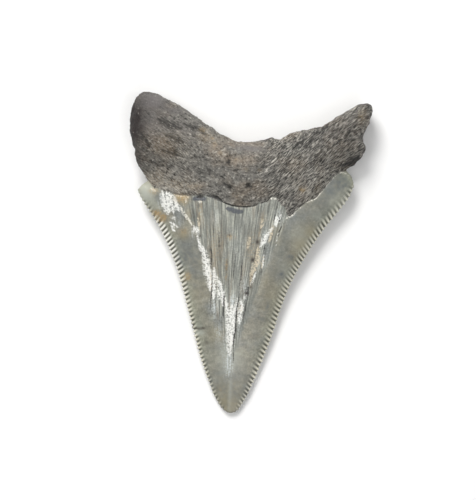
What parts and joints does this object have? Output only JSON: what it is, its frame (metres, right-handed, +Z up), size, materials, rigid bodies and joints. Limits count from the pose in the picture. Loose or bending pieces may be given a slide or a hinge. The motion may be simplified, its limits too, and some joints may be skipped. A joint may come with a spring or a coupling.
{
  "type": "megalodon tooth",
  "caption": "Fossil megalodon tooth: a broad triangular crown with serrated cutting edges and a thick, rough, forked root. A display specimen that lies on its flat face.",
  "frame": {"origin": "middle of the bounding box in X and Y, on the plane the tooth lies on", "axes": "+Y runs from the crown's tip to the root, +X across the tooth to the longer cutting edge's side, +Z up out of the rounded display face"},
  "size_m": [0.0502, 0.0666, 0.0124],
  "materials": {
    "tooth": "satin"
  },
  "bodies": {
    "root": {"tooth": "tooth"}
  },
  "joints": []
}
